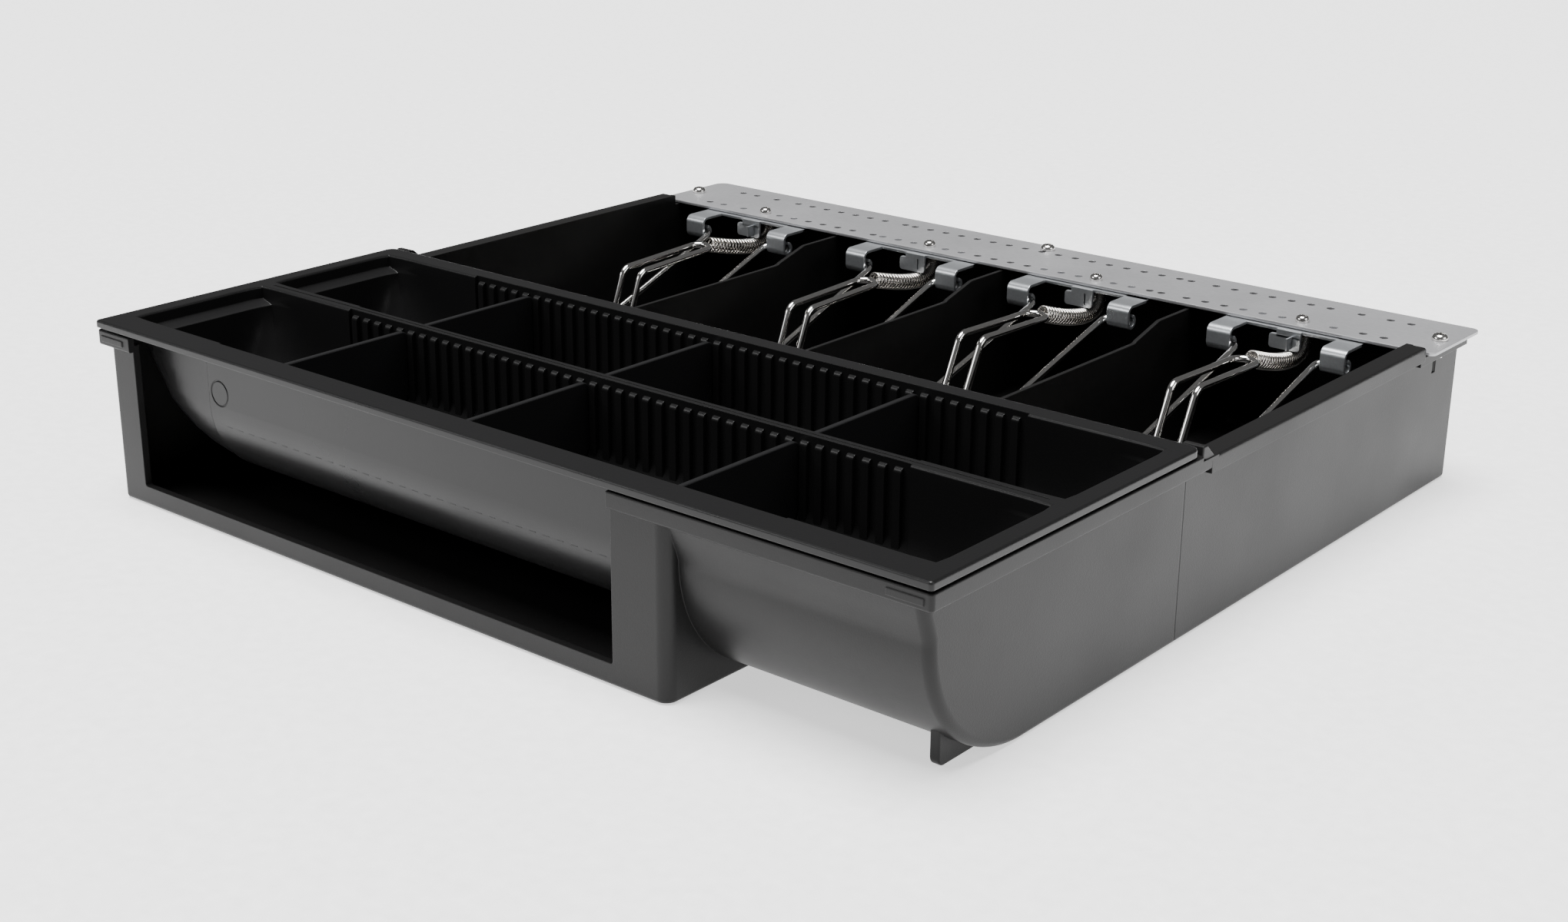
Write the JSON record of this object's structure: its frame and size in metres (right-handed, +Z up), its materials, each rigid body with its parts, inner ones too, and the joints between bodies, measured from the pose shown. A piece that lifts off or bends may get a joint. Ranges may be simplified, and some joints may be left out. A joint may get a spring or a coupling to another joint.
{
  "type": "cash drawer till tray",
  "caption": "Black plastic till tray with lift-out coin cups, sliding dividers, sprung wire note clips on a perforated steel bar, and a front slot for large notes.",
  "frame": {"origin": "centre of the bounding box at the height of the flat bottom", "axes": "+X to the right along the steel bar, +Y from the coin end to the bar end, +Z up"},
  "size_m": [0.354, 0.325, 0.0634],
  "materials": {
    "tray_plastic": "satin, fine moulded grain",
    "coin_tray_plastic": "satin rim, smoother inside the cups",
    "divider_plastic": "semi-gloss",
    "bar_steel": "satin sheet steel",
    "bracket_steel": "bright pressed sheet",
    "clip_chrome": "polished plated wire",
    "spring_chrome": "polished close-wound wire",
    "screw_chrome": "bright plated"
  },
  "bodies": {
    "tray": {"tray_body": "tray_plastic", "hinge_bar": "bar_steel", "clip_bracket_1": "bracket_steel", "clip_bracket_2": "bracket_steel", "clip_bracket_3": "bracket_steel", "clip_bracket_4": "bracket_steel", "clip_spring_1": "spring_chrome", "clip_spring_2": "spring_chrome", "clip_spring_3": "spring_chrome", "clip_spring_4": "spring_chrome", "bracket_screw_1": "screw_chrome", "bracket_screw_2": "screw_chrome", "bracket_screw_3": "screw_chrome", "bracket_screw_4": "screw_chrome", "bar_screw_1": "screw_chrome", "bar_screw_2": "screw_chrome", "bar_screw_3": "screw_chrome"},
    "coin_tray": {"coin_tray": "coin_tray_plastic"},
    "coin_divider_front_1": {"coin_divider_front_1": "divider_plastic"},
    "coin_divider_front_2": {"coin_divider_front_2": "divider_plastic"},
    "coin_divider_front_3": {"coin_divider_front_3": "divider_plastic"},
    "coin_divider_back_1": {"coin_divider_back_1": "divider_plastic"},
    "coin_divider_back_2": {"coin_divider_back_2": "divider_plastic"},
    "coin_divider_back_3": {"coin_divider_back_3": "divider_plastic"},
    "bill_clip_1": {"bill_clip_1": "clip_chrome"},
    "bill_clip_2": {"bill_clip_2": "clip_chrome"},
    "bill_clip_3": {"bill_clip_3": "clip_chrome"},
    "bill_clip_4": {"bill_clip_4": "clip_chrome"}
  },
  "joints": [
    {"name": "coin_tray_lift", "type": "slide", "parent": "tray", "child": "coin_tray", "axis": [0, 0, 1], "range_m": [0, 0.08]},
    {"name": "coin_divider_front_1_lift", "type": "slide", "parent": "coin_tray", "child": "coin_divider_front_1", "axis": [0, 0, 1], "range_m": [0, 0.055]},
    {"name": "coin_divider_front_2_lift", "type": "slide", "parent": "coin_tray", "child": "coin_divider_front_2", "axis": [0, 0, 1], "range_m": [0, 0.055]},
    {"name": "coin_divider_front_3_lift", "type": "slide", "parent": "coin_tray", "child": "coin_divider_front_3", "axis": [0, 0, 1], "range_m": [0, 0.055]},
    {"name": "coin_divider_back_1_lift", "type": "slide", "parent": "coin_tray", "child": "coin_divider_back_1", "axis": [0, 0, 1], "range_m": [0, 0.055]},
    {"name": "coin_divider_back_2_lift", "type": "slide", "parent": "coin_tray", "child": "coin_divider_back_2", "axis": [0, 0, 1], "range_m": [0, 0.055]},
    {"name": "coin_divider_back_3_lift", "type": "slide", "parent": "coin_tray", "child": "coin_divider_back_3", "axis": [0, 0, 1], "range_m": [0, 0.055]},
    {"name": "bill_clip_1_hinge", "type": "hinge", "parent": "tray", "child": "bill_clip_1", "pos_m": [-0.1245, 0.113, 0.0482], "axis": [-1, 0, 0], "range_deg": [-9, 80], "stiffness_Nm_per_rad": 0.15, "springref_deg": 1.72, "deforming": ["clip_spring_1"]},
    {"name": "bill_clip_2_hinge", "type": "hinge", "parent": "tray", "child": "bill_clip_2", "pos_m": [-0.0389, 0.113, 0.0482], "axis": [-1, 0, 0], "range_deg": [-9, 80], "stiffness_Nm_per_rad": 0.15, "springref_deg": 1.72, "deforming": ["clip_spring_2"]},
    {"name": "bill_clip_3_hinge", "type": "hinge", "parent": "tray", "child": "bill_clip_3", "pos_m": [0.0389, 0.113, 0.0482], "axis": [-1, 0, 0], "range_deg": [-14, 80], "stiffness_Nm_per_rad": 0.15, "springref_deg": 1.72, "deforming": ["clip_spring_3"]},
    {"name": "bill_clip_4_hinge", "type": "hinge", "parent": "tray", "child": "bill_clip_4", "pos_m": [0.1245, 0.113, 0.0482], "axis": [-1, 0, 0], "range_deg": [-14, 80], "stiffness_Nm_per_rad": 0.15, "springref_deg": 1.72, "deforming": ["clip_spring_4"]}
  ]
}
